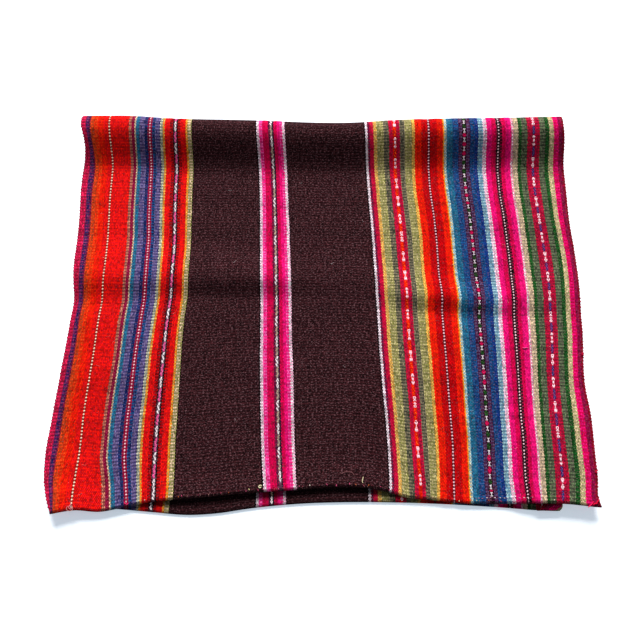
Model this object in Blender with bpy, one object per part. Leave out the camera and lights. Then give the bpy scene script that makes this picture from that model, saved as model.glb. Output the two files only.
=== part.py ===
# Folded carrying cloth: one loom width of thick striped wool, doubled once across its length.
# The lower layer lies flat, the fold stands up as an uneven roll at the far end (+Y), and the
# upper layer comes back over it to a hem that lies just short of the lower one.
# Units are metres, +Z is up, and the origin is under the middle of the cloth.

import math

import bmesh
import bpy
import numpy as np

# Cloth
CLOTH_THICK = 0.0020
HEM_THICK = 0.0031
HEM_DEPTH = 0.0070
HEM_SHOULDER = 0.0042
LAYER_GAP = 0.0006
LAYER_LENGTH = 0.4350

# Fold roll and the slope that comes down from it
ROLL_RADIUS = 0.0140
ROLL_Y = 0.2093
SLOPE_REACH = 0.0487

# Front right corner of the lower layer, which curls up under the upper one
CURL_RADIUS = 0.0028

# Mesh steps: rows crowd towards each hem by their power
LOWER_STEPS = 17
LOWER_CROWDING = 1.7
ROLL_STEPS = 8
SLOPE_STEPS = 8
UPPER_STEPS = 24
UPPER_CROWDING = 1.1
BROAD_COLUMNS = 24
CURL_COLUMNS = 14
CURL_COLUMNS_FROM = 0.945

# Selvedges of the upper layer: where along the cloth, and the two edges there
UPPER_EDGES = {
    "y": (-0.224, -0.208, -0.190, -0.170, -0.127, -0.084, -0.040, 0.007, 0.053, 0.102, 0.163, 0.193, 0.2093),
    "left": (-0.2790, -0.2850, -0.2900, -0.2915, -0.2880, -0.2830, -0.2780, -0.2745, -0.2760,
             -0.2762, -0.2760, -0.2720, -0.2752),
    "right": (0.2928, 0.2885, 0.2900, 0.2895, 0.2895, 0.2868, 0.2893, 0.2900, 0.2893,
              0.2852, 0.2843, 0.2822, 0.2800),
}

# Selvedges of the lower layer, which lies a little askew under the upper one
LOWER_EDGES = {
    "y": (-0.224, -0.170, -0.100, 0.000, 0.100, 0.2093),
    "left": (-0.2760, -0.2800, -0.2790, -0.2750, -0.2740, -0.2748),
    "right": (0.2755, 0.2765, 0.2790, 0.2820, 0.2830, 0.2800),
}

# The two hems, as they wander across the cloth
UPPER_HEM = {
    "x": (-0.281, -0.255, -0.229, -0.208, -0.177, -0.125, -0.068, -0.021, 0.021, 0.054,
          0.072, 0.092, 0.115, 0.156, 0.188, 0.250, 0.292),
    "y": (-0.2266, -0.2222, -0.2236, -0.2200, -0.2140, -0.2095, -0.2043, -0.2012, -0.1985, -0.2003,
          -0.2040, -0.2095, -0.2115, -0.2155, -0.2155, -0.2157, -0.2196),
}
LOWER_HEM = {
    "x": (-0.276, -0.214, -0.178, -0.136, -0.110, -0.073, -0.021, 0.030, 0.084, 0.126,
          0.188, 0.230, 0.276),
    "y": (-0.2180, -0.2205, -0.2235, -0.2266, -0.2252, -0.2200, -0.2152, -0.2136, -0.2140, -0.2154,
          -0.2189, -0.2220, -0.2232),
}

# The fold's line bows towards the front in its middle, and its roll sags there
FOLD_LINE = {
    "x": (-0.275, -0.220, -0.170, -0.100, -0.030, 0.040, 0.090, 0.160, 0.240, 0.280),
    "shift": (0.0020, 0.0020, -0.0010, -0.0016, -0.0038, -0.0044, -0.0022, -0.0008, 0.0000, 0.0012),
    "sag": (0.0, 0.0, 0.0006, 0.0014, 0.0022, 0.0024, 0.0014, 0.0006, 0.0, 0.0),
}

# Where the lower layer starts to curl up
CURL_LINE = {
    "y": (-0.2240, -0.2180, -0.2100, -0.1830, -0.1330, -0.1030),
    "x": (0.2445, 0.2490, 0.2512, 0.2580, 0.2720, 0.2900),
}

# Soft creases and lifts of the upper layer: middle, reach each way, height and turn in degrees
SOFT_RIDGES = (
    {"x": -0.205, "y": 0.052, "across": 0.150, "along": 0.030, "height": 0.0050, "turn": -2.0},
    {"x": 0.205, "y": 0.005, "across": 0.170, "along": 0.022, "height": 0.0038, "turn": 2.0},
    {"x": 0.235, "y": 0.120, "across": 0.120, "along": 0.045, "height": 0.0022, "turn": -6.0},
    {"x": -0.230, "y": -0.070, "across": 0.110, "along": 0.050, "height": 0.0016, "turn": 8.0},
    {"x": 0.030, "y": -0.100, "across": 0.190, "along": 0.060, "height": 0.0012, "turn": 3.0},
    {"x": -0.290, "y": -0.232, "across": 0.085, "along": 0.062, "height": 0.0080, "turn": 35.0},
)

# The upper layer rises over the curled corner: where it starts to, and where it has risen fully
CORNER_RISE = {
    "height": 0.0082,
    "acrossFrom": 0.185,
    "acrossTo": 0.231,
    "alongFrom": -0.060,
    "alongTo": -0.165,
}

# The upper hem stands a little off the lower layer
HEM_LIFT = {
    "reach": 0.030,
    "x": (-0.290, -0.170, -0.060, 0.060, 0.120, 0.290),
    "height": (0.0014, 0.0026, 0.0032, 0.0030, 0.0016, 0.0014),
}

# Finish: the brown plain bands cover the most of it
CLOTH_COLOUR = (0.055, 0.014, 0.016, 1.0)
CLOTH_ROUGHNESS = 0.92
SHARP_ANGLE = math.radians(40)


def smooth_table(places, values, at):
    """A smooth curve through a table's values, level past its ends."""
    px = np.asarray(places)
    pv = np.asarray(values)
    slopes = np.gradient(pv, px)
    at = np.clip(at, px[0], px[-1])
    k = np.clip(np.searchsorted(px, at, side="right") - 1, 0, len(px) - 2)
    step = px[k + 1] - px[k]
    q = (at - px[k]) / step
    start = (1 + 2 * q) * (1 - q) ** 2 * pv[k] + q * (1 - q) ** 2 * step * slopes[k]
    end = q * q * (3 - 2 * q) * pv[k + 1] + q * q * (q - 1) * step * slopes[k + 1]
    return start + end


def ease(value, start, end):
    """Rises softly from 0 at start to 1 at end."""
    q = min(max((value - start) / (end - start), 0.0), 1.0)
    return q * q * (3 - 2 * q)


def across(edges, u, y):
    left = smooth_table(edges["y"], edges["left"], y)
    right = smooth_table(edges["y"], edges["right"], y)
    return left + (right - left) * u


def soft_ridge(ridge, x, y):
    turn = math.radians(ridge["turn"])
    dx = x - ridge["x"]
    dy = y - ridge["y"]
    a = (dx * math.cos(turn) + dy * math.sin(turn)) / ridge["across"]
    b = (dy * math.cos(turn) - dx * math.sin(turn)) / ridge["along"]
    if abs(a) >= 1 or abs(b) >= 1:
        return 0.0
    return ridge["height"] * (0.5 + 0.5 * math.cos(math.pi * a)) * (0.5 + 0.5 * math.cos(math.pi * b))


def upper_rise(x, y, hem_y):
    """How far the upper layer stands above where it would lie if it were flat."""
    rise = sum(soft_ridge(ridge, x, y) for ridge in SOFT_RIDGES)
    side = ease(x, CORNER_RISE["acrossFrom"], CORNER_RISE["acrossTo"])
    front = ease(-y, -CORNER_RISE["alongFrom"], -CORNER_RISE["alongTo"])
    rise += CORNER_RISE["height"] * side * front
    lift = smooth_table(HEM_LIFT["x"], HEM_LIFT["height"], x)
    return rise + lift * (1 - ease(y - hem_y, 0.0, HEM_LIFT["reach"]))


def half_thickness(from_hem):
    """Half the cloth's thickness, fuller in the rolled hem."""
    fuller = 1 - ease(from_hem, HEM_SHOULDER, HEM_DEPTH)
    return 0.5 * (CLOTH_THICK + (HEM_THICK - CLOTH_THICK) * fuller)


def curled(x, y, z):
    """Turns a point of the lower layer up round the curl, with the way that its outside faces."""
    start = float(smooth_table(CURL_LINE["y"], CURL_LINE["x"], y))
    past = x - start
    if past <= 0:
        return x, z, (0.0, -1.0)
    angle = min(past / CURL_RADIUS, math.pi)
    back = past - angle * CURL_RADIUS
    turned_x = start + CURL_RADIUS * math.sin(angle) - back
    turned_z = z + CURL_RADIUS * (1 - math.cos(angle))
    return turned_x, turned_z, (math.sin(angle), -math.cos(angle))


def hem_spread(steps, crowding):
    """Fractions of a layer from its hem to the fold: the hem's own rows, then ones that open out."""
    hem = np.array((0.0, 0.5 * HEM_DEPTH, HEM_DEPTH)) / LAYER_LENGTH
    rest = np.linspace(0.0, 1.0, steps)[1:] ** crowding
    return np.concatenate((hem, hem[-1] + (1 - hem[-1]) * rest))


def column_rows(u):
    """Middle points, outward directions and half thicknesses down one column, hem to hem."""
    rows = []
    fold_x = across(UPPER_EDGES, u, ROLL_Y)
    shift = float(smooth_table(FOLD_LINE["x"], FOLD_LINE["shift"], fold_x))
    sag = float(smooth_table(FOLD_LINE["x"], FOLD_LINE["sag"], fold_x))
    fold_y = ROLL_Y + shift
    radius = ROLL_RADIUS - 0.5 * sag
    base = 0.5 * CLOTH_THICK
    rest_z = base + CLOTH_THICK + LAYER_GAP

    hem_x = across(LOWER_EDGES, u, LOWER_EDGES["y"][0])
    hem_y = float(smooth_table(LOWER_HEM["x"], LOWER_HEM["y"], hem_x))
    for q in hem_spread(LOWER_STEPS, LOWER_CROWDING):
        y = hem_y + (fold_y - hem_y) * q
        half = half_thickness(y - hem_y)
        x, z, (nx, nz) = curled(across(LOWER_EDGES, u, y), y, half)
        rows.append(((x, y, z), (nx, 0.0, nz), half))

    for step in range(1, ROLL_STEPS):
        angle = math.pi * (step / ROLL_STEPS - 0.5)
        y = fold_y + radius * math.cos(angle)
        z = base + radius * (1 + math.sin(angle))
        rows.append(((fold_x, y, z), (0.0, math.cos(angle), math.sin(angle)), base))

    crest_z = base + 2 * radius
    for step in range(SLOPE_STEPS + 1):
        q = step / SLOPE_STEPS
        y = fold_y - SLOPE_REACH * q
        fall = 0.5 - 0.5 * math.cos(math.pi * q)
        z = crest_z + (rest_z - crest_z) * fall
        steepness = 0.5 * math.pi * math.sin(math.pi * q) * (crest_z - rest_z) / SLOPE_REACH
        length = math.hypot(1.0, steepness)
        rows.append(((across(UPPER_EDGES, u, y), y, z), (0.0, -steepness / length, 1 / length), base))

    foot_y = fold_y - SLOPE_REACH
    hem_x = across(UPPER_EDGES, u, UPPER_EDGES["y"][0])
    hem_y = float(smooth_table(UPPER_HEM["x"], UPPER_HEM["y"], hem_x))
    for q in hem_spread(UPPER_STEPS, UPPER_CROWDING)[::-1][1:]:
        y = hem_y + (foot_y - hem_y) * q
        half = half_thickness(y - hem_y)
        x = across(UPPER_EDGES, u, y)
        z = rest_z + upper_rise(x, y, hem_y)
        rows.append(((x, y, z), (0.0, 0.0, 1.0), half))
    return rows


def cloth_material():
    material = bpy.data.materials.new("brown_wool")
    material.use_nodes = True
    shader = material.node_tree.nodes["Principled BSDF"]
    shader.inputs["Base Color"].default_value = CLOTH_COLOUR
    shader.inputs["Roughness"].default_value = CLOTH_ROUGHNESS
    shader.inputs["Metallic"].default_value = 0.0
    material.diffuse_color = CLOTH_COLOUR
    return material


def folded_cloth():
    """One closed sheet: an outer and an inner skin, joined along the selvedges and the hems."""
    broad = np.linspace(0.0, CURL_COLUMNS_FROM, BROAD_COLUMNS)
    close = np.linspace(CURL_COLUMNS_FROM, 1.0, CURL_COLUMNS)[1:]
    columns = [column_rows(float(u)) for u in np.concatenate((broad, close))]

    bm = bmesh.new()
    skins = []
    for side in (1, -1):
        skins.append([
            [bm.verts.new([p + side * half * n for p, n in zip(point, normal)])
             for point, normal, half in rows]
            for rows in columns
        ])
    outer, inner = skins
    last_column = len(columns) - 1
    last_row = len(columns[0]) - 1
    for c in range(last_column):
        for r in range(last_row):
            bm.faces.new((outer[c][r], outer[c][r + 1], outer[c + 1][r + 1], outer[c + 1][r]))
            bm.faces.new((inner[c][r], inner[c + 1][r], inner[c + 1][r + 1], inner[c][r + 1]))
        bm.faces.new((outer[c][0], outer[c + 1][0], inner[c + 1][0], inner[c][0]))
        bm.faces.new((outer[c][last_row], inner[c][last_row], inner[c + 1][last_row], outer[c + 1][last_row]))
    for r in range(last_row):
        bm.faces.new((outer[0][r], inner[0][r], inner[0][r + 1], outer[0][r + 1]))
        bm.faces.new((outer[last_column][r], outer[last_column][r + 1],
                      inner[last_column][r + 1], inner[last_column][r]))

    mesh = bpy.data.meshes.new("folded_cloth")
    bm.to_mesh(mesh)
    bm.free()
    mesh.shade_smooth()
    mesh.set_sharp_from_angle(angle=SHARP_ANGLE)
    mesh.materials.append(cloth_material())
    cloth = bpy.data.objects.new("folded_cloth", mesh)
    bpy.context.scene.collection.objects.link(cloth)
    return cloth


for old in list(bpy.data.objects):
    bpy.data.objects.remove(old, do_unlink=True)
folded_cloth()
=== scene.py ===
import math
import random

import bpy
import numpy as np
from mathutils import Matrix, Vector


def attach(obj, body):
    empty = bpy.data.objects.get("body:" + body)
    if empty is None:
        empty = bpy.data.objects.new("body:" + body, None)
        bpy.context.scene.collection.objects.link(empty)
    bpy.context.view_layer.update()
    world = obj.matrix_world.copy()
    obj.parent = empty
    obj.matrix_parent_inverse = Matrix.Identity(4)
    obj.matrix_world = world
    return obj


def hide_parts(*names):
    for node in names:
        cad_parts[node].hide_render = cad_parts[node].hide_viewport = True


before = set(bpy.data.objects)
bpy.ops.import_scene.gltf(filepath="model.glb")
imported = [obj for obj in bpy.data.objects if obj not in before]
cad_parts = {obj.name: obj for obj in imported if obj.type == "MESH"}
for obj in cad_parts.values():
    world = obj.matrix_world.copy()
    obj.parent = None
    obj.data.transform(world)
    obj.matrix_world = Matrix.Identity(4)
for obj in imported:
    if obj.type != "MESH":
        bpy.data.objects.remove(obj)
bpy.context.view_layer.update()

# Metres, +Z up, the front hem towards -Y. The cloth is one loom width, folded once across its length.
clothSheet = {
    "thickness": 0.0020,
    "hemThickness": 0.0031,
    "hemDepth": 0.0070,
    "hemShoulder": 0.0042,
    "layerGap": 0.0006,
    "width": 0.5828,
    "flatWidth": 0.583,
    "flatLength": 0.897,
    "rollRadius": 0.0140,
    "rollY": 0.2093,
    "slopeReach": 0.0487,
    "curlRadius": 0.0028,
    "columnStep": 0.0030,
    "lowerRows": 34,
    "lowerCrowding": 1.7,
    "rollRows": 20,
    "slopeRows": 16,
    "upperRows": 84,
    "upperCrowding": 1.1,
    "capPoints": 5,
    "hemEndReach": 0.0022,
    "hemSteps": (0.0, 0.0012, 0.0024, 0.0036, 0.0048, 0.0060, 0.0070),
    "layerLength": 0.435,
    "selvedgeRound": 0.0011,
    "selvedgeShare": 0.3,
    "selvedgeSteps": (0.00025, 0.0006, 0.0011),
    "reliefSpan": (0.3, 0.8),
}

# The weave: one warp yarn's pitch across, and one weft pick's pitch along
weave = {"warpPitch": 0.0008, "pickPitch": 0.00174}

leftSelvedge = {
    "y": (-0.224, -0.208, -0.190, -0.170, -0.127, -0.084, -0.040, 0.007, 0.053, 0.102, 0.163, 0.193,
          0.2093),
    "x": (-0.2790, -0.2850, -0.2900, -0.2915, -0.2880, -0.2830, -0.2780, -0.2745, -0.2760,
          -0.2762, -0.2760, -0.2720, -0.2752),
}
rightSelvedge = {
    "y": leftSelvedge["y"],
    "x": (0.2928, 0.2885, 0.2900, 0.2895, 0.2895, 0.2868, 0.2893, 0.2900, 0.2893,
          0.2852, 0.2843, 0.2822, 0.2800),
}
lowerSelvedges = {
    "y": (-0.224, -0.170, -0.100, 0.000, 0.100, 0.2093),
    "left": (-0.2760, -0.2800, -0.2790, -0.2750, -0.2740, -0.2748),
    "right": (0.2755, 0.2765, 0.2790, 0.2820, 0.2830, 0.2800),
}

# Where the main stripes run on the upper layer: from the place in the weave to the places on the table
guideY = (-0.224, -0.205, -0.190, -0.168, -0.147, -0.125, -0.104, -0.082, -0.060, -0.037, -0.014, 0.009,
          0.032, 0.056, 0.080, 0.104, 0.129, 0.176, 0.2093)
stripeGuides = {
    0.0110: (-0.2758, -0.2780, -0.2804, -0.2800, -0.2783, -0.2765, -0.2746, -0.2718, -0.2691, -0.2674,
             -0.2661, -0.2643, -0.2634, -0.2632, -0.2631, -0.2636, -0.2642, -0.2625, -0.2646),
    0.0334: (-0.2580, -0.2582, -0.2578, -0.2559, -0.2550, -0.2542, -0.2526, -0.2502, -0.2480, -0.2464,
             -0.2447, -0.2430, -0.2416, -0.2411, -0.2416, -0.2422, -0.2425, -0.2417, -0.2425),
    0.0610: (-0.2215, -0.2235, -0.2254, -0.2290, -0.2288, -0.2279, -0.2264, -0.2236, -0.2216, -0.2202,
             -0.2186, -0.2166, -0.2153, -0.2149, -0.2154, -0.2164, -0.2167, -0.2162, -0.2154),
    0.0975: (-0.1885, -0.1898, -0.1913, -0.1924, -0.1923, -0.1916, -0.1904, -0.1893, -0.1883, -0.1863,
             -0.1843, -0.1821, -0.1803, -0.1805, -0.1811, -0.1820, -0.1827, -0.1826, -0.1819),
    0.1153: (-0.1735, -0.1741, -0.1749, -0.1752, -0.1749, -0.1743, -0.1735, -0.1726, -0.1714, -0.1703,
             -0.1688, -0.1667, -0.1651, -0.1650, -0.1656, -0.1664, -0.1669, -0.1667, -0.1664),
    0.1340: (-0.1562, -0.1565, -0.1565, -0.1570, -0.1571, -0.1564, -0.1559, -0.1554, -0.1548, -0.1541,
             -0.1528, -0.1506, -0.1495, -0.1493, -0.1496, -0.1500, -0.1504, -0.1501, -0.1506),
    0.2315: (-0.0555, -0.0569, -0.0584, -0.0601, -0.0613, -0.0620, -0.0627, -0.0634, -0.0640, -0.0642,
             -0.0645, -0.0648, -0.0652, -0.0660, -0.0668, -0.0672, -0.0679, -0.0702, -0.0722),
    0.2660: (-0.0234, -0.0246, -0.0259, -0.0270, -0.0280, -0.0287, -0.0291, -0.0296, -0.0307, -0.0317,
             -0.0323, -0.0326, -0.0333, -0.0343, -0.0353, -0.0364, -0.0374, -0.0397, -0.0417),
    0.3650: (0.0731, 0.0737, 0.0744, 0.0741, 0.0731, 0.0718, 0.0702, 0.0686, 0.0673, 0.0663, 0.0653,
             0.0642, 0.0631, 0.0621, 0.0609, 0.0593, 0.0575, 0.0548, 0.0531),
    0.3948: (0.1060, 0.1058, 0.1056, 0.1044, 0.1035, 0.1028, 0.1019, 0.1005, 0.0993, 0.0982, 0.0974,
             0.0969, 0.0957, 0.0945, 0.0932, 0.0917, 0.0899, 0.0873, 0.0856),
    0.4170: (0.1247, 0.1252, 0.1258, 0.1259, 0.1258, 0.1247, 0.1236, 0.1224, 0.1215, 0.1204, 0.1195,
             0.1191, 0.1176, 0.1170, 0.1162, 0.1144, 0.1118, 0.1098, 0.1084),
    0.4490: (0.1585, 0.1584, 0.1583, 0.1587, 0.1586, 0.1577, 0.1573, 0.1567, 0.1560, 0.1550, 0.1546,
             0.1544, 0.1530, 0.1521, 0.1512, 0.1498, 0.1475, 0.1449, 0.1434),
    0.5066: (0.2172, 0.2164, 0.2155, 0.2156, 0.2158, 0.2154, 0.2154, 0.2156, 0.2157, 0.2155, 0.2157,
             0.2157, 0.2155, 0.2144, 0.2127, 0.2106, 0.2083, 0.2068, 0.2051),
    0.5300: (0.2362, 0.2366, 0.2370, 0.2368, 0.2365, 0.2367, 0.2371, 0.2378, 0.2385, 0.2392, 0.2398,
             0.2395, 0.2391, 0.2382, 0.2364, 0.2343, 0.2323, 0.2311, 0.2289),
    0.5665: (0.2711, 0.2725, 0.2741, 0.2735, 0.2730, 0.2728, 0.2724, 0.2725, 0.2735, 0.2749, 0.2757,
             0.2760, 0.2765, 0.2761, 0.2733, 0.2706, 0.2694, 0.2684, 0.2655),
}
# How far the lower layer's stripes lie aside of the upper one's at the hems
lowerShift = {"u": (0.0, 0.2312, 0.3645, 0.5828), "x": (0.0030, -0.0100, -0.0206, -0.0173)}

upperHem = {
    "x": (-0.281, -0.255, -0.229, -0.208, -0.177, -0.125, -0.068, -0.021, 0.021, 0.054,
          0.072, 0.092, 0.115, 0.156, 0.188, 0.250, 0.292),
    "y": (-0.2266, -0.2222, -0.2236, -0.2200, -0.2140, -0.2095, -0.2043, -0.2012, -0.1985, -0.2003,
          -0.2040, -0.2095, -0.2115, -0.2155, -0.2155, -0.2157, -0.2196),
}
lowerHem = {
    "x": (-0.276, -0.214, -0.178, -0.136, -0.110, -0.073, -0.021, 0.030, 0.084, 0.126,
          0.188, 0.230, 0.276),
    "y": (-0.2180, -0.2205, -0.2235, -0.2266, -0.2252, -0.2200, -0.2152, -0.2136, -0.2140, -0.2154,
          -0.2189, -0.2220, -0.2232),
}
foldLine = {
    "x": (-0.275, -0.220, -0.170, -0.100, -0.030, 0.040, 0.090, 0.160, 0.240, 0.280),
    "shift": (0.0020, 0.0020, -0.0010, -0.0016, -0.0038, -0.0044, -0.0022, -0.0008, 0.0000, 0.0012),
    "sag": (0.0, 0.0, 0.0006, 0.0014, 0.0022, 0.0024, 0.0014, 0.0006, 0.0, 0.0),
}
curlLine = {
    "y": (-0.2240, -0.2180, -0.2100, -0.1830, -0.1330, -0.1030),
    "x": (0.2445, 0.2490, 0.2512, 0.2580, 0.2720, 0.2900),
}

# Soft creases and lifts of the upper layer: middle, reach each way, height and turn in degrees
softRidges = (
    {"x": 0.235, "y": 0.112, "across": 0.120, "along": 0.050, "height": 0.0024, "turn": -6.0},
    {"x": -0.230, "y": -0.070, "across": 0.110, "along": 0.050, "height": 0.0016, "turn": 8.0},
    {"x": 0.030, "y": -0.100, "across": 0.190, "along": 0.060, "height": 0.0012, "turn": 3.0},
    {"x": -0.290, "y": -0.232, "across": 0.085, "along": 0.062, "height": 0.0080, "turn": 35.0},
)
# The long crease across the middle: a crest that falls steeply to a trough, and a low swell after it
longCrease = {
    "x": (-0.290, -0.240, -0.200, -0.160, -0.110, -0.060, 0.000, 0.050, 0.085, 0.110, 0.140, 0.165, 0.195,
          0.230, 0.285),
    "crest": (0.034, 0.034, 0.033, 0.032, 0.031, 0.031, 0.031, 0.028, 0.016, 0.012, 0.010, 0.006, 0.005,
              0.010, 0.014),
    "height": (0.0076, 0.0076, 0.0074, 0.0080, 0.0088, 0.0078, 0.0038, 0.0026, 0.0056, 0.0072, 0.0074,
               0.0070, 0.0050, 0.0036, 0.0022),
    "near": (0.032, 0.031, 0.028, 0.026, 0.024, 0.024, 0.024, 0.024, 0.021, 0.021, 0.020, 0.020, 0.020,
             0.022, 0.028),
    "far": (0.055, 0.055, 0.055, 0.050, 0.045, 0.040, 0.036, 0.034, 0.034, 0.032, 0.030, 0.030, 0.030,
            0.034, 0.045),
    "swell": (0.0026, 0.0026, 0.0018, 0.0014, 0.0012, 0.0008, 0.0005, 0.0006, 0.0022, 0.0030, 0.0028,
              0.0026, 0.0024, 0.0018, 0.0010),
    "swellRise": 0.026,
    "swellOffset": 0.9,
    "swellFall": 0.110,
}
cornerRise = {
    "height": 0.0082, "acrossFrom": 0.185, "acrossTo": 0.231, "alongFrom": 0.060, "alongTo": 0.165,
}
hemLift = {
    "reach": 0.030,
    "x": (-0.290, -0.170, -0.060, 0.060, 0.120, 0.290),
    "height": (0.0014, 0.0026, 0.0032, 0.0030, 0.0016, 0.0014),
}
# Long low waves that no two stretches of hand-woven cloth share
softWaves = (
    {"across": 0.180, "along": 0.050, "height": 0.00022, "phase": 0.4},
    {"across": 0.110, "along": -0.085, "height": 0.00018, "phase": 2.1},
    {"across": 0.070, "along": 0.150, "height": 0.00014, "phase": 4.4},
)
# The stripes' own relief: ridges beside the chains, troughs under them
stripeRelief = {
    "u": (0.000, 0.020, 0.033, 0.050, 0.060, 0.070, 0.083, 0.095, 0.102, 0.1085, 0.1147, 0.121, 0.128,
          0.138, 0.228, 0.236, 0.243, 0.2493, 0.256, 0.262, 0.270, 0.364, 0.372, 0.380, 0.388, 0.3945,
          0.401, 0.412, 0.424, 0.4315, 0.439, 0.450, 0.462, 0.469, 0.476, 0.490, 0.499, 0.5064, 0.514,
          0.530, 0.540, 0.5454, 0.551, 0.565, 0.5828),
    "height": (0.0, 0.00015, 0.0, 0.00015, 0.0, 0.00018, 0.0, 0.0002, 0.0001, 0.00045, -0.00020, 0.00045,
               0.0001, 0.0, 0.0, 0.0002, 0.00045, -0.00015, 0.00045, 0.0002, 0.0, 0.0, 0.0001, 0.0002,
               0.00035, 0.0001, 0.00035, 0.0002, 0.00045, -0.00015, 0.00045, 0.0001, 0.0003, 0.0001,
               0.0003, 0.0001, 0.00040, -0.00025, 0.00040, 0.0001, 0.0003, 0.0001, 0.0003, 0.0001, 0.0),
}


def curveBetween(q, step, first, last, firstSlope, lastSlope):
    start = (1 + 2 * q) * (1 - q) ** 2 * first + q * (1 - q) ** 2 * step * firstSlope
    end = q * q * (3 - 2 * q) * last + q * q * (q - 1) * step * lastSlope
    return start + end


def smoothTable(places, values, at):
    # a smooth curve through a table's values, level past its ends
    px = np.asarray(places, dtype=float)
    pv = np.asarray(values, dtype=float)
    slopes = np.gradient(pv, px)
    at = np.clip(at, px[0], px[-1])
    k = np.clip(np.searchsorted(px, at, side="right") - 1, 0, len(px) - 2)
    step = px[k + 1] - px[k]
    return curveBetween((at - px[k]) / step, step, pv[k], pv[k + 1], slopes[k], slopes[k + 1])


def ease(value, start, end):
    q = np.clip((value - start) / (end - start), 0.0, 1.0)
    return q * q * (3 - 2 * q)


def unit(vectors):
    return vectors / np.maximum(np.linalg.norm(vectors, axis=-1, keepdims=True), 1e-12)


def linearColour(hexText):
    values = [int(hexText[k:k + 2], 16) / 255 for k in (1, 3, 5)]
    return tuple(v / 12.92 if v <= 0.04045 else ((v + 0.055) / 1.055) ** 2.4 for v in values) + (1.0,)


# Wool colours, and the stripes from left to right: width in mm, and the two warp colours that take turns
wool = {
    "black": "#0E0508", "brown": "#401D21", "brownDark": "#200C0F", "cream": "#F0CFA7",
    "fuchsia": "#E72253", "crimson": "#CB0F3A", "crimsonDark": "#A40D35", "purple": "#7F255B",
    "navy": "#1A1C56", "orange": "#F24616", "orangeRed": "#EF2708", "red": "#FA170B", "redDeep": "#E21119",
    "redMid": "#C6040B", "redDark": "#7A040C", "tan": "#CF8065", "tanDark": "#8D4039", "maroon": "#8E0F39",
    "yellow": "#F5B955", "peach": "#EEB262", "teal": "#267496", "tealDark": "#1A5B7E", "violet": "#786A9A",
    "blue": "#1B5187", "blueNavy": "#19386E", "violetDark": "#3D376C", "mint": "#E1DEC1",
    "mintDark": "#888F80", "amber": "#FF8B1B", "oliveLight": "#C5B77D", "olive": "#8B8947",
    "oliveGrey": "#6C7B58", "greenGrey": "#887D62", "greenGreyDark": "#3E4435", "lilac": "#584468",
    "plum": "#44123A", "blueDeep": "#11367C", "blueLight": "#A0C7CF", "blueSoft": "#608EAD",
    "pinkWhite": "#FFE6EF", "pinkPale": "#FFBAD4", "pinkHot": "#F81577", "pinkMid": "#FE5DAB",
    "mauve": "#603A4C", "peachPale": "#F6DEC2", "rosePale": "#F4C4CC", "rust": "#8C1C10",
    "wineDark": "#5C0818", "rosePink": "#F890AE", "milk": "#FFEDF3", "orangeRust": "#B43C1A",
    "wineRose": "#900746", "pinkDeep": "#DA044A", "pinkWine": "#86123A", "green": "#1B6024",
    "greenDark": "#15471B", "sand": "#BCA58C",
}
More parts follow.
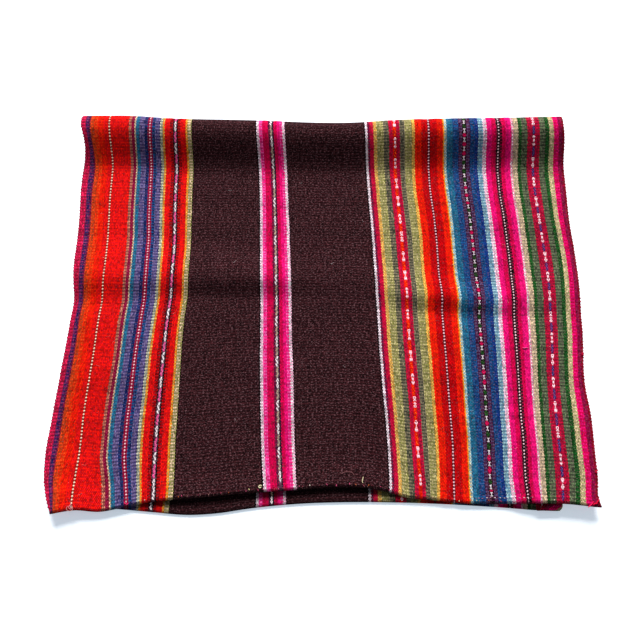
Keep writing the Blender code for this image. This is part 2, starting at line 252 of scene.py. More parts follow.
stripes = (
    (5.8, "fuchsia", "crimsonDark"), (3.6, "purple", "navy"), (2.2, "maroon", "plum"),
    (3.8, "orange", "orangeRust"), (4.6, "orange", "orangeRed"), (7.0, "orangeRed", "red"),
    (28.8, "red", "redDeep"), (3.8, "tan", "tanDark"), (3.4, "maroon", "maroon"), (1.8, "cream", "sand"),
    (4.0, "teal", "tealDark"), (6.4, "violet", "violetDark"), (4.2, "navy", "blueNavy"),
    (5.4, "maroon", "crimsonDark"), (4.0, "navy", "blue"), (5.6, "violet", "violetDark"),
    (1.4, "navy", "navy"), (2.6, "mint", "mintDark"), (2.8, "yellow", "amber"), (7.0, "red", "redDeep"),
    (3.8, "redDark", "redMid"), (1.4, "black", "black"), (3.8, "mauve", "mauve"), (1.4, "black", "black"),
    (3.2, "redDark", "redMid"), (7.4, "red", "redDeep"), (2.2, "amber", "yellow"), (5.2, "cream", "olive"),
    (1.4, "black", "black"), (90.6, "brown", "brownDark"), (1.2, "black", "black"),
    (3.2, "milk", "pinkPale"), (3.4, "pinkMid", "pinkHot"), (1.6, "pinkHot", "pinkHot"),
    (7.0, "pinkDeep", "pinkDeep"), (2.4, "plum", "pinkWine"), (3.4, "mauve", "mauve"),
    (1.4, "black", "plum"), (4.4, "pinkDeep", "pinkDeep"), (3.0, "pinkHot", "pinkHot"),
    (3.8, "pinkMid", "pinkHot"), (3.2, "milk", "pinkPale"), (1.6, "black", "black"),
    (93.4, "brown", "brownDark"), (2.0, "black", "black"), (2.4, "milk", "pinkWhite"),
    (2.4, "maroon", "plum"), (3.6, "crimson", "crimson"), (3.2, "peach", "yellow"),
    (7.8, "oliveLight", "olive"), (5.6, "greenGrey", "greenGreyDark"), (3.8, "crimson", "crimson"),
    (4.2, "orangeRed", "red"), (3.8, "crimson", "crimsonDark"), (5.0, "greenGreyDark", "greenGrey"),
    (8.2, "oliveLight", "olive"), (3.4, "yellow", "yellow"), (7.0, "orangeRed", "red"),
    (16.0, "redMid", "redMid"), (6.6, "orangeRed", "red"), (2.0, "yellow", "amber"),
    (2.4, "mint", "blueLight"), (6.0, "teal", "tealDark"), (6.6, "blue", "blueNavy"),
    (3.4, "plum", "lilac"), (4.8, "plum", "black"), (3.4, "plum", "lilac"), (5.4, "blue", "blueNavy"),
    (3.6, "blueDeep", "blueDeep"), (5.2, "blueLight", "blueSoft"), (3.8, "pinkWhite", "pinkPale"),
    (5.8, "pinkHot", "pinkHot"), (4.2, "pinkDeep", "pinkDeep"), (2.2, "pinkWine", "black"),
    (3.0, "black", "black"), (1.2, "pinkWine", "black"), (4.4, "pinkDeep", "pinkDeep"),
    (5.8, "pinkHot", "pinkHot"), (2.6, "pinkWhite", "rosePink"), (6.0, "cream", "sand"),
    (4.0, "green", "greenDark"), (6.4, "oliveGrey", "greenGreyDark"), (13.2, "crimson", "crimsonDark"),
    (6.2, "oliveGrey", "greenGreyDark"), (5.6, "green", "greenDark"), (5.0, "cream", "oliveLight"),
    (6.6, "pinkHot", "pinkDeep"), (4.0, "wineRose", "maroon"), (3.4, "redDark", "crimsonDark"),
)
stripeEdges = np.concatenate(((0.0,), np.cumsum([s[0] for s in stripes]))) / 1000
stripeEdges *= clothSheet["width"] / stripeEdges[-1]

# Single warps of another colour, which show as a dotted line, with the colour beside them
dottedLines = (
    {"u": 0.0334, "dot": "peachPale", "beside": "rust"},
    {"u": 0.0824, "dot": "rosePale", "beside": "maroon"},
    {"u": 0.4324, "dot": "rosePale", "beside": "wineDark"},
    {"u": 0.5066, "dot": "rosePale", "beside": "black"},
)
zoneLimits = (0.0, 0.0880, 0.1800, 0.3100, 0.4200, 0.4900, 0.5828)
zoneNames = ("leftEdgeStripes", "leftChainStripes", "middleStripes", "rightInnerStripes",
             "rightMiddleStripes", "rightOuterStripes")


# The sheet's grid: columns by stripe, rows from the lower hem round the roll to the upper hem
def columnPlaces():
    width = clothSheet["width"]
    marks = set(np.round(stripeEdges, 6)) | set(np.round(zoneLimits, 6))
    marks |= {round(place, 6) for step in clothSheet["selvedgeSteps"] for place in (step, width - step)}
    marks = sorted(marks)
    places = [marks[0]]
    for start, end in zip(marks, marks[1:]):
        count = max(1, math.ceil((end - start) / clothSheet["columnStep"] - 0.01))
        places += [start + (end - start) * k / count for k in range(1, count + 1)]
    return np.array(places)


columnU = columnPlaces()
guideU = np.array((0.0, *stripeGuides, clothSheet["width"]))
bracket = np.clip(np.searchsorted(guideU, columnU, side="right") - 1, 0, len(guideU) - 2)


def readAcross(matrix):
    # from one x for each guide to one for each column
    slopes = np.gradient(matrix, guideU, axis=0)
    k, c = bracket, np.arange(len(columnU))
    step = guideU[k + 1] - guideU[k]
    return curveBetween((columnU - guideU[k]) / step, step, matrix[k, c], matrix[k + 1, c],
                        slopes[k, c], slopes[k + 1, c])


def upperGuides(y):
    rows = [smoothTable(leftSelvedge["y"], leftSelvedge["x"], y)]
    rows += [smoothTable(guideY, places, y) for places in stripeGuides.values()]
    return np.array(rows + [smoothTable(rightSelvedge["y"], rightSelvedge["x"], y)])


def lowerGuides(y):
    atFold = upperGuides(np.full_like(y, clothSheet["rollY"]))
    atHem = upperGuides(np.full_like(y, leftSelvedge["y"][0]))
    aside = np.interp(guideU, lowerShift["u"], lowerShift["x"])[:, None]
    along = (clothSheet["rollY"] - y) / (clothSheet["rollY"] - leftSelvedge["y"][0])
    rows = atFold + (atHem + aside - atFold) * along
    rows[0] = smoothTable(lowerSelvedges["y"], lowerSelvedges["left"], y)
    rows[-1] = smoothTable(lowerSelvedges["y"], lowerSelvedges["right"], y)
    return rows


def softRidge(ridge, x, y):
    turn = math.radians(ridge["turn"])
    dx, dy = x - ridge["x"], y - ridge["y"]
    a = np.clip((dx * math.cos(turn) + dy * math.sin(turn)) / ridge["across"], -1, 1)
    b = np.clip((dy * math.cos(turn) - dx * math.sin(turn)) / ridge["along"], -1, 1)
    return ridge["height"] * (0.5 + 0.5 * np.cos(math.pi * a)) * (0.5 + 0.5 * np.cos(math.pi * b))


def hump(distance, reach):
    return 0.5 + 0.5 * np.cos(math.pi * np.clip(distance / reach, 0.0, 1.0))


def creaseRise(x, y):
    keys = ("crest", "height", "near", "far", "swell")
    read = {key: smoothTable(longCrease["x"], longCrease[key], x) for key in keys}
    before = read["crest"] - y
    rise = read["height"] * np.where(before > 0, hump(before, read["near"]), hump(-before, read["far"]))
    swellAt = before - read["near"] - longCrease["swellRise"] * longCrease["swellOffset"]
    swell = np.where(swellAt < 0, hump(-swellAt, longCrease["swellRise"]),
                     hump(swellAt, longCrease["swellFall"]))
    return rise + read["swell"] * swell


def upperRise(x, y, hemY):
    rise = sum(softRidge(ridge, x, y) for ridge in softRidges) + creaseRise(x, y)
    side = ease(x, cornerRise["acrossFrom"], cornerRise["acrossTo"])
    rise = rise + cornerRise["height"] * side * ease(-y, cornerRise["alongFrom"], cornerRise["alongTo"])
    lift = smoothTable(hemLift["x"], hemLift["height"], x)
    rise = rise + lift * (1 - ease(y - hemY, 0.0, hemLift["reach"]))
    for wave in softWaves:
        turns = x / wave["across"] + y / wave["along"]
        rise = rise + wave["height"] * np.sin(2 * math.pi * turns + wave["phase"])
    return rise


def halfThickness(fromHem):
    fuller = 1 - ease(fromHem, clothSheet["hemShoulder"], clothSheet["hemDepth"])
    return 0.5 * (clothSheet["thickness"] + (clothSheet["hemThickness"] - clothSheet["thickness"]) * fuller)


def curled(x, y, z):
    # turns the lower layer up round the curl at its front right corner
    radius = clothSheet["curlRadius"]
    start = smoothTable(curlLine["y"], curlLine["x"], y)
    past = np.maximum(x - start, 0.0)
    angle = np.minimum(past / radius, math.pi)
    back = past - angle * radius
    turnedX = np.where(x > start, start + radius * np.sin(angle) - back, x)
    return turnedX, z + radius * (1 - np.cos(angle))


def hemSpread(steps, crowding):
    # rows close together in the hem, then spread over the rest of a layer
    hem = np.array(clothSheet["hemSteps"]) / clothSheet["layerLength"]
    rest = np.linspace(0.0, 1.0, steps)[1:] ** crowding
    return np.concatenate((hem, hem[-1] + (1 - hem[-1]) * rest))


def clothGrid():
    rows = []
    halves = []
    relief = []
    base = 0.5 * clothSheet["thickness"]
    restZ = base + clothSheet["thickness"] + clothSheet["layerGap"]
    ones = np.ones_like(columnU)
    stripeRise = smoothTable(stripeRelief["u"], stripeRelief["height"], columnU)

    foldX = readAcross(upperGuides(ones * clothSheet["rollY"]))
    foldY = clothSheet["rollY"] + smoothTable(foldLine["x"], foldLine["shift"], foldX)
    radius = clothSheet["rollRadius"] - 0.5 * smoothTable(foldLine["x"], foldLine["sag"], foldX)

    hemX = readAcross(lowerGuides(ones * leftSelvedge["y"][0]))
    hemY = smoothTable(lowerHem["x"], lowerHem["y"], hemX) + 0.5 * clothSheet["hemThickness"]
    for q in hemSpread(clothSheet["lowerRows"], clothSheet["lowerCrowding"]):
        y = hemY + (foldY - hemY) * q
        half = halfThickness(y - hemY)
        x, z = curled(readAcross(lowerGuides(y)), y, half)
        rows.append(np.stack((x, y, z), axis=-1))
        halves.append(half)
        relief.append(0.0)

    for step in range(1, clothSheet["rollRows"]):
        angle = math.pi * (step / clothSheet["rollRows"] - 0.5)
        turned = (foldX, foldY + radius * math.cos(angle), base + radius * (1 + math.sin(angle)))
        rows.append(np.stack(turned, axis=-1))
        halves.append(ones * base)
        relief.append(float(ease(step / clothSheet["rollRows"], *clothSheet["reliefSpan"])))

    crestZ = base + 2 * radius
    for step in range(clothSheet["slopeRows"] + 1):
        q = step / clothSheet["slopeRows"]
        y = foldY - clothSheet["slopeReach"] * q
        z = crestZ + (restZ - crestZ) * (0.5 - 0.5 * math.cos(math.pi * q))
        rows.append(np.stack((readAcross(upperGuides(y)), y, z), axis=-1))
        halves.append(ones * base)
        relief.append(1.0)

    footY = foldY - clothSheet["slopeReach"]
    hemX = readAcross(upperGuides(ones * leftSelvedge["y"][0]))
    hemY = smoothTable(upperHem["x"], upperHem["y"], hemX) + 0.5 * clothSheet["hemThickness"]
    for q in hemSpread(clothSheet["upperRows"], clothSheet["upperCrowding"])[::-1][1:]:
        y = hemY + (footY - hemY) * q
        x = readAcross(upperGuides(y))
        z = restZ + upperRise(x, y, hemY)
        rows.append(np.stack((x, y, z), axis=-1))
        halves.append(halfThickness(y - hemY))
        relief.append(1.0)

    middle, half = np.array(rows), np.array(halves)
    steps = np.linalg.norm(np.diff(middle, axis=0), axis=-1).mean(axis=1)
    rowV = np.concatenate(((0.0,), np.cumsum(steps)))
    outward = unit(np.cross(np.gradient(middle, axis=0), np.gradient(middle, axis=1)))
    middle = middle + outward * (np.array(relief)[:, None] * stripeRise)[:, :, None]
    fromEdge = np.minimum(columnU, clothSheet["width"] - columnU) / clothSheet["selvedgeRound"]
    share = clothSheet["selvedgeShare"]
    rounding = share + (1 - share) * np.sqrt(1 - (1 - np.clip(fromEdge, 0, 1)) ** 2)
    return middle, outward, half * rounding, rowV


gridMiddle, gridOutward, gridHalf, gridV = clothGrid()
print(f"cloth grid: {len(columnU)} columns by {len(gridV)} rows, {gridV[-1]:.4f} m hem to hem")


def clothMesh():
    rows, columns = gridHalf.shape
    caps = clothSheet["capPoints"]
    outer = gridMiddle + gridOutward * gridHalf[:, :, None]
    inner = gridMiddle - gridOutward * gridHalf[:, :, None]

    def hemEnd(row, inside, turn):
        away = unit(gridMiddle[row] - gridMiddle[inside])
        points, reach = [], []
        for k in range(1, caps + 1):
            angle = turn * (0.5 - k / (caps + 1)) * math.pi
            points.append(gridMiddle[row] + gridHalf[row][:, None] * (
                math.cos(angle) * away + math.sin(angle) * gridOutward[row]))
            reach.append(math.cos(angle) * clothSheet["hemEndReach"])
        return points, reach

    upperCap, upperReach = hemEnd(rows - 1, rows - 2, 1)
    lowerCap, lowerReach = hemEnd(0, 1, -1)
    ring = np.array(list(outer) + upperCap + list(inner[::-1]) + lowerCap)
    ringV = np.concatenate((gridV, gridV[-1] + np.array(upperReach), gridV[::-1], -np.array(lowerReach)))
    count = len(ring)
    points = ring.transpose(1, 0, 2).reshape(-1, 3)
    vertexU = np.repeat(columnU, count)
    vertexV = np.tile(ringV, columns)

    faces, slots = [], []
    zoneOf = np.clip(np.searchsorted(zoneLimits, 0.5 * (columnU[1:] + columnU[:-1]), side="right") - 1,
                     0, len(zoneNames) - 1)
    for c in range(columns - 1):
        for k in range(count):
            n = (k + 1) % count
            faces.append((c * count + k, c * count + n, (c + 1) * count + n, (c + 1) * count + k))
        slots += [int(zoneOf[c])] * count
    for c, flip, zone in ((0, False, 0), (columns - 1, True, len(zoneNames) - 1)):
        ends = []
        for r in range(rows - 1):
            a, b = r, r + 1
            far, near = 2 * rows + caps - 1 - b, 2 * rows + caps - 1 - a
            ends.append([a, near, far, b])
        ends.append(list(range(rows - 1, rows + caps + 1))[::-1])
        ends.append((list(range(2 * rows + caps - 1, count)) + [0])[::-1])
        for face in ends:
            face = [c * count + k for k in (face[::-1] if flip else face)]
            faces.append(tuple(face))
            slots.append(zone)

    mesh = bpy.data.meshes.new("clothSheet")
    mesh.from_pydata(points.tolist(), [], faces)
    mesh.polygons.foreach_set("material_index", slots)
    layer = mesh.uv_layers.new(name="warpAndPick")
    corner = np.empty(len(mesh.loops), dtype=np.int32)
    mesh.loops.foreach_get("vertex_index", corner)
    places = np.stack((vertexU[corner], vertexV[corner]), axis=-1)
    layer.data.foreach_set("uv", places.astype(np.float32).ravel())
    mesh.shade_smooth()
    mesh.update()
    return mesh


# How the woven wool looks: how far yarns wander, how much their tones differ, how fine each unevenness is
weaveLook = {
    "wanderAcross": 0.0007, "acrossGrain": (26.0, 38.0), "wanderAlong": 0.0008, "alongGrain": (17.0, 9.0),
    "warpTone": 0.16, "pickTone": 0.26, "pickShift": 0.37,
    "dashTone": 0.34, "dashWarps": 4.0, "dashStep": 1.7,
    "grainTone": 0.70, "streakTone": 0.26, "streakGrain": (420.0, 34.0, 3.0),
    "fleckTone": 0.16, "fleckGrain": (620.0, 520.0),
    "ribGrooveShade": 0.34, "gapPaintedShade": 0.30, "gapShadeLimits": (0.08, 0.80), "strayGrains": 0.05,
    "underHemShade": 0.38, "stripShade": 0.72, "stripDepth": 0.012, "lowerLayer": 0.05,
    "upperEdgeShade": 0.34, "upperEdge": (0.0024, 0.0004),
    "lowerEdgeShade": 0.5, "lowerEdge": (0.0002, 0.0016),
    "hemLineShade": 0.70, "hemLineIn": 0.0050, "hemLineReach": 0.0010,
    "fleckShade": 0.74, "fleckShadeGrain": (520.0, 950.0, 3.0), "fleckShadeLimits": (0.04, 0.18),
    "hairHighlightTint": (0.112, 0.056, 0.063), "hairHighlightGrain": (420.0, 900.0, 3.0), "hairHighlightLimits": (0.06, 0.20),
    "paleLimits": (0.08, 0.32), "dullLimits": (0.55, 0.02),
    "grainHeight": 0.00042, "fibreHeight": 0.00012, "fibreGrain": (5200.0, 1400.0), "bump": 0.85,
    "roughness": 0.95, "sheen": 0.01, "sheenRoughness": 0.5, "specular": 0.02,
}


class NodeDesk:
    # short ways to lay nodes, set their inputs and join them
    def __init__(self, tree):
        self.tree = tree

    def fill(self, sockets, values):
        for key, value in values.items() if isinstance(values, dict) else enumerate(values):
            if isinstance(value, bpy.types.NodeSocket):
                self.tree.links.new(value, sockets[key])
            else:
                sockets[key].default_value = value

    def lay(self, kind, inputs=(), **settings):
        node = self.tree.nodes.new(kind)
        for key, value in settings.items():
            setattr(node, key, value)
        self.fill(node.inputs, inputs)
        return node

    def maths(self, operation, *values):
        return self.lay("ShaderNodeMath", values, operation=operation).outputs[0]

    def pair(self, x, y, z=0.0):
        return self.lay("ShaderNodeCombineXYZ", (x, y, z)).outputs[0]

    def scaled(self, vector, factor):
        return self.lay("ShaderNodeVectorMath", {0: vector, "Scale": factor}, operation="SCALE").outputs[0]

    def stepRamp(self, place, stops):
        # one flat colour from each stop to the next
        node = self.lay("ShaderNodeValToRGB", (place,))
        node.color_ramp.interpolation = "CONSTANT"
        elements = node.color_ramp.elements
        while len(elements) > 1:
            elements.remove(elements[-1])
        elements[0].position, elements[0].color = stops[0]
        for position, colour in stops[1:]:
            elements.new(position).color = colour
        return node.outputs[0]


def startMaterial(name):
    material = bpy.data.materials.new(name)
    material.use_nodes = True
    return material, NodeDesk(material.node_tree), material.node_tree.nodes["Principled BSDF"].inputs


def laidOver(spans, start, end, name):
    # the spans with a new one over them, and what it covers cut away
    kept = [(start, end, name)]
    for a, b, old in spans:
        if b <= start or a >= end:
            kept.append((a, b, old))
            continue
        if a < start:
            kept.append((a, start, old))
        if b > end:
            kept.append((end, b, old))
    return sorted(kept)


def warpColours(start, end):
    # two lists of ramp stops, for the even warps and for the odd ones
    pitch = weave["warpPitch"]
    lists = []
    for lane in (0, 1):
        spans = [(stripeEdges[k], stripeEdges[k + 1], stripe[1 + lane]) for k, stripe in enumerate(stripes)]
        for line in dottedLines:
            warp = round(line["u"] / pitch)
            reach, name = (0.5, line["dot"]) if warp % 2 == lane else (1.5, line["beside"])
            spans = laidOver(spans, (warp - reach) * pitch, (warp + reach) * pitch, name)
        stops = []
        for a, b, name in spans:
            if a < end and b > start and (not stops or stops[-1][1] != name):
                stops.append((max(a, start), name))
        assert len(stops) <= 32, (start, lane, len(stops))
        lists.append([((a - start) / (end - start), linearColour(wool[name])) for a, name in stops])
    return lists


def wovenWool(name, start, end):
    look = weaveLook
    hemV = float(gridV[-1])
    material, desk, shader = startMaterial(name)
    maths = desk.maths
    place = desk.lay("ShaderNodeUVMap", uv_map="warpAndPick").outputs[0]
    u, v = desk.lay("ShaderNodeSeparateXYZ", (place,)).outputs[:2]

    def times(first, *others):
        for other in others:
            first = maths("MULTIPLY", first, other)
        return first

    def softNoise(scaleU, scaleV, detail=2.0):
        inputs = {"Vector": desk.pair(times(u, scaleU), times(v, scaleV)), "Scale": 1.0, "Detail": detail}
        noise = desk.lay("ShaderNodeTexNoise", inputs, noise_dimensions="2D")
        return maths("SUBTRACT", noise.outputs["Fac"], 0.5)

    def eased(value, low, high, first=0.0, last=1.0):
        inputs = {"Value": value, "From Min": low, "From Max": high, "To Min": first, "To Max": last}
        return desk.lay("ShaderNodeMapRange", inputs, interpolation_type="SMOOTHSTEP").outputs["Result"]

    def dice(x, y=None):
        # one chance for each yarn, or for each place where two cross
        inputs = {"W": x} if y is None else {"Vector": desk.pair(x, y)}
        node = desk.lay("ShaderNodeTexWhiteNoise", inputs, noise_dimensions="1D" if y is None else "2D")
        return node.outputs

    # warps and picks wander a little, so no line is ruled
    across = maths("MULTIPLY_ADD", softNoise(*look["acrossGrain"]), look["wanderAcross"], u)
    along = maths("MULTIPLY_ADD", softNoise(*look["alongGrain"]), look["wanderAlong"], v)
    a = maths("DIVIDE", across, weave["warpPitch"])
    b = maths("DIVIDE", along, weave["pickPitch"])
    p = maths("ROUND", times(maths("ADD", a, b), 0.5))
    q = maths("ROUND", times(maths("SUBTRACT", a, b), 0.5))
    warp, pick = maths("ADD", p, q), maths("SUBTRACT", p, q)
    bows = [maths("COSINE", times(maths("SUBTRACT", spot, middle), math.pi / 2))
            for spot, middle in ((a, warp), (b, pick))]
    rise = times(*bows)

    grain = desk.lay("ShaderNodeSeparateColor", (dice(warp, pick)["Color"],)).outputs
    stray = maths("LESS_THAN", grain[0], look["strayGrains"])
    lane = maths("ABSOLUTE", maths("SUBTRACT", maths("FLOORED_MODULO", warp, 2.0), stray))
    warpPlace = maths("DIVIDE", maths("SUBTRACT", times(warp, weave["warpPitch"]), start), end - start)
    evenStops, oddStops = warpColours(start, end)
    colours = desk.lay("ShaderNodeMix", {0: lane, 6: desk.stepRamp(warpPlace, evenStops),
                                         7: desk.stepRamp(warpPlace, oddStops)}, data_type="RGBA").outputs[2]

    # a pick that stands up lightens a few warps side by side
    stepped = maths("MULTIPLY_ADD", pick, look["dashStep"], warp)
    dash = maths("FLOOR", maths("DIVIDE", stepped, look["dashWarps"]))
    tone = 1.0
    for value, share in ((dice(warp)["Value"], "warpTone"),
                         (dice(maths("ADD", pick, look["pickShift"]))["Value"], "pickTone"),
                         (dice(dash, pick)["Value"], "dashTone"), (grain[1], "grainTone")):
        tone = maths("MULTIPLY_ADD", maths("SUBTRACT", value, 0.5), look[share], tone)
    for label in ("streak", "fleck"):
        tone = maths("MULTIPLY_ADD", softNoise(*look[label + "Grain"]), look[label + "Tone"], tone)
    # each pick stands up as a rib, and painted shade darkens the groove before the next one
    rib = maths("MULTIPLY_ADD", maths("COSINE", times(b, 2.0 * math.pi)), 0.5, -0.5)
    tone = times(tone, maths("MULTIPLY_ADD", rib, look["ribGrooveShade"], 1.0))
    # the strip that looks out below the upper hem lies in its shade
    strip = eased(v, 0.0, look["stripDepth"], look["stripShade"], look["underHemShade"])
    inShade = maths("MAXIMUM", strip, maths("GREATER_THAN", v, look["lowerLayer"]))
    # painted shade darkens the hems' own edges and the line where the upper one was turned in
    turnedIn = maths("ABSOLUTE", maths("SUBTRACT", v, hemV - look["hemLineIn"]))
    upperEdge = eased(v, *(hemV - reach for reach in look["upperEdge"]), 1.0, look["upperEdgeShade"])
    hemLine = eased(turnedIn, 0.0, look["hemLineReach"], look["hemLineShade"])
    lowerEdge = eased(v, *look["lowerEdge"], look["lowerEdgeShade"])
    inShade = times(inShade, times(upperEdge, times(hemLine, lowerEdge)))
    # painted shade darkens the gaps between the grains, where the yarns dive under one another
    gap = eased(rise, *look["gapShadeLimits"], look["gapPaintedShade"])
    toned = desk.scaled(colours, times(tone, inShade, gap))

    # light wool gets flecks of painted shade between its yarns, and dark wool gets painted highlights where
    # short hairs would catch the light
    red, green, blue = desk.lay("ShaderNodeSeparateColor", (toned,)).outputs[:3]
    strongest = maths("MAXIMUM", red, maths("MAXIMUM", green, blue))
    pale, dark = eased(green, *look["paleLimits"]), eased(strongest, *look["dullLimits"])
    shadeFlecks = times(eased(softNoise(*look["fleckShadeGrain"]), *look["fleckShadeLimits"], 0.0, look["fleckShade"]), pale)
    hairHighlights = times(eased(softNoise(*look["hairHighlightGrain"]), *look["hairHighlightLimits"]), times(dark, inShade))
    paintedHighlight = desk.scaled(look["hairHighlightTint"], hairHighlights)
    fleckShaded = desk.scaled(toned, maths("SUBTRACT", 1.0, shadeFlecks))
    highlighted = desk.lay("ShaderNodeVectorMath", (fleckShaded, paintedHighlight), operation="ADD")

    height = maths("MULTIPLY_ADD", softNoise(*look["fibreGrain"]), look["fibreHeight"],
                   times(rise, look["grainHeight"]))
    bump = desk.lay("ShaderNodeBump", {"Height": height, "Strength": look["bump"], "Distance": 1.0})
    desk.fill(shader, {
        "Base Color": highlighted.outputs[0], "Normal": bump.outputs[0], "Roughness": look["roughness"],
        "Specular IOR Level": look["specular"], "Sheen Weight": look["sheen"],
        "Sheen Roughness": look["sheenRoughness"]})
    return material


def addPiece(name, data):
    piece = bpy.data.objects.new(name, data)
    bpy.context.scene.collection.objects.link(piece)
    return piece


sheet = addPiece("clothSheet", clothMesh())
for name, start, end in zip(zoneNames, zoneLimits, zoneLimits[1:]):
    sheet.data.materials.append(wovenWool(name, start, end))
print(f"cloth sheet: {len(sheet.data.polygons)} faces")


# The figures, the chains and the dotted lines are yarn floats laid on the sheet
def surfaceAt(u, v, side=1):
    # a point of the sheet's skin, the way it faces, and the way its warps run
    r = int(np.clip(np.searchsorted(gridV, v) - 1, 0, len(gridV) - 2))
    c = int(np.clip(np.searchsorted(columnU, u) - 1, 0, len(columnU) - 2))
    fr = (v - gridV[r]) / (gridV[r + 1] - gridV[r])
    fc = (u - columnU[c]) / (columnU[c + 1] - columnU[c])

    def between(grid):
        low = grid[r, c] * (1 - fc) + grid[r, c + 1] * fc
        return low * (1 - fr) + (grid[r + 1, c] * (1 - fc) + grid[r + 1, c + 1] * fc) * fr

    outward = unit(between(gridOutward))
    along = unit((gridMiddle[r + 1, c] - gridMiddle[r, c]) * (1 - fc)
                 + (gridMiddle[r + 1, c + 1] - gridMiddle[r, c + 1]) * fc)
    return between(gridMiddle) + side * outward * between(gridHalf), side * outward, along


# Rows run from the hem towards the fold. A dot leaves the sheet's own weave showing.
charts = {
    "barEyes": (".RRR.", "RRRRR", ".RkR.", ".RRR.", ".RRR.", ".RRR.", ".RkR.", "RRRRR", ".RRR."),
    "bone": ("RRRRR", "RRRRR", ".RRR.", ".RRR.", "..R..", ".RRR.", ".RRR.", "RRkRR", "RRRRR"),
    "waist": ("RRRRR", "RRRRR", "RRRRR", ".RRR.", "..R..", ".RRR.", "RRRRR", "RRRRR", "RRRRR"),
    "eyeDown": ("RRRRR", "RRRRR", "RRRRR", ".RRR.", "..R..", ".RRR.", "RRRRR", "RRkRR", ".RRR."),
    "eyeUp": (".RRR.", "RRkRR", "RRRRR", ".RRR.", "..R..", ".RRR.", "RRRRR", "RRRRR", "RRRRR"),
    "beetle": ("RRRRR", "RRkRR", ".RRR.", "RRRRR", "..R..", "RRRRR", ".RRR.", "RRkRR", "RRRRR"),
    "twoEyes": (".RRR.", "RRRRR", "RRkRR", ".RRR.", ".RRR.", ".RRR.", "RRkRR", "RRRRR", ".RRR."),
    "embers": (".....", "..o..", ".o...", ".....", "...o.", "..o..", ".....", ".o...", "....."),
    "nightBlock": (".BBB.", "BbBBB", "BBbBB", "BBBbB", "BBbBB", "BbBBB", "BBBbB", "BBbBB", ".BBB."),
    "chainWhite": (".WWW.", "WWWs.", "WWsW.", ".sWWW", ".WWWs", "WWWs.", "WsWW.", ".WWWs", "..WWW"),
    "chainRing": ("..WW.", ".WWWs", ".WkWW", "sWWW.", ".sWW.", ".WWWs", "WWkWW", ".WWWs", "..WW."),
    "chainPink": (".PPP.", "PPPp.", "PPpP.", ".PPPp", ".PPpP", "PPpP.", "PpPP.", ".PPPp", "..PPP"),
    "chainBeige": (".TTs.", "TTtT.", ".TTts", "..TTt", ".sTT.", "TtTT.", ".TtTs", ".TTT.", "..TTt"),
    "hourglass": (".www.", "..w..", ".www."),
    "greenBlock": (".GGG.", "GGGgG", "GgGGG", ".GGG."),
    "magentaBlock": (".MMM.", "MMmMM", "MMMMM", ".MMM."),
    "darkBlock": (".gGg.", "GgGgG", "gGgGg", ".GgG."),
}
yarnColours = {
    "W": "#EEE2E2", "w": "#DCD0D4", "s": "#867A7C", "R": "#F8D2DA", "k": "#3A0A20", "o": "#FF7420",
    "B": "#18225C", "b": "#4C6AA8", "P": "#E44C8C", "p": "#F48CB8", "T": "#A8927C", "t": "#D8C0A8",
    "G": "#103C14", "g": "#2A6A24", "M": "#C40648", "m": "#E82868",
}
figureBands = (
    {"name": "leftChain", "u": 0.1153, "pitch": 0.00062, "figures": ("chainWhite", "chainRing"),
     "between": ("chainPink",), "length": 0.0128, "gap": 0.0002,
     "starts": (899, 887, 859, 831, 806, 778, 751, 727, 701, 677, 649, 625, 599, 572, 549, 525, 501, 476,
                450, 425)},
    {"name": "middleChain", "u": 0.2490, "pitch": 0.00060, "figures": ("chainRing", "chainWhite"),
     "between": ("chainBeige",), "length": 0.0125, "gap": 0.0002,
     "starts": (889, 863, 837, 811, 786, 761, 738, 714, 689, 665, 640, 614, 589, 566, 542, 517, 491, 466,
                441)},
    {"name": "crimsonFigures", "u": 0.3948, "pitch": 0.00060,
     "figures": ("barEyes", "waist", "eyeDown", "beetle", "twoEyes", "waist", "bone", "barEyes"),
     "between": ("embers",), "length": 0.0126, "gap": 0.0003,
     "starts": (884, 855, 827, 801, 776, 750, 726, 702, 678, 656, 632, 608, 586, 564, 542, 517, 493, 469,
                445)},
    {"name": "outerFigures", "u": 0.5458, "pitch": 0.00060,
     "figures": ("twoEyes", "eyeUp", "barEyes", "beetle", "eyeDown"),
     "between": ("nightBlock",), "length": 0.0124, "gap": 0.0003,
     "starts": (908, 884, 859, 831, 804, 777, 752, 728, 704, 680, 657, 633, 610, 588, 567, 542, 518, 493,
                470, 446)},
    {"name": "blueFigures", "u": 0.4694, "pitch": 0.00074, "figures": ("hourglass",),
     "between": tuple({"g": "greenBlock", "m": "magentaBlock", "d": "darkBlock"}[k]
                      for k in "mgmmggmdggmmggmmgggmmmgggmmmgggmmmgggmmmgggmm"),
     "length": 0.0052, "gap": 0.0,
     "starts": (891, 883.5, 872.6, 859.6, 847.6, 834.6, 822.6, 811.6, 800.6, 789.6, 778.6, 767.6, 756.6,
                745.6, 735.6, 725.6, 715.6, 705.6, 694.6, 684.6, 675.6, 664.6, 655.6, 644.6, 634.6, 624.6,
                614.6, 604.6, 594.6, 585.6, 577.6, 568.6, 559.6, 549.6, 540.6, 529.6, 518.6, 508.6, 497.6,
                487.6, 477.6, 467.6, 457.6, 447.6, 437.6)},
)
# Strays are the full breadth of a bead's wander, and spans a least value and what chance adds to it
floats = {
    "rise": 0.00042, "sink": 0.00010, "longestFloat": 3, "overlap": 1.12, "fullness": 1.30,
    "eyeRise": 0.00012, "toneSpread": 0.16, "strayAlong": 0.25, "strayAcross": 0.12, "strayTurn": 0.25,
    "fromHem": 0.0004, "shortest": 0.001, "underHemShows": 0.034, "stripEnd": 0.0005,
    "stripShares": (1.0, 0.95),
}
dottedYarn = {
    "length": 0.0016, "width": 0.0023, "slant": 0.30, "from": 0.432, "to": 0.892, "toneSpread": 0.08,
    "dimmed": 0.16, "dimSpan": (0.50, 0.3), "lengthSpan": (0.85, 0.3),
    "strayAcross": 0.0002, "strayAlong": 0.0003, "strayTurn": 0.4,
    "besideLength": 0.0018, "besideWidth": 0.0024, "besideRise": 0.00034,
}


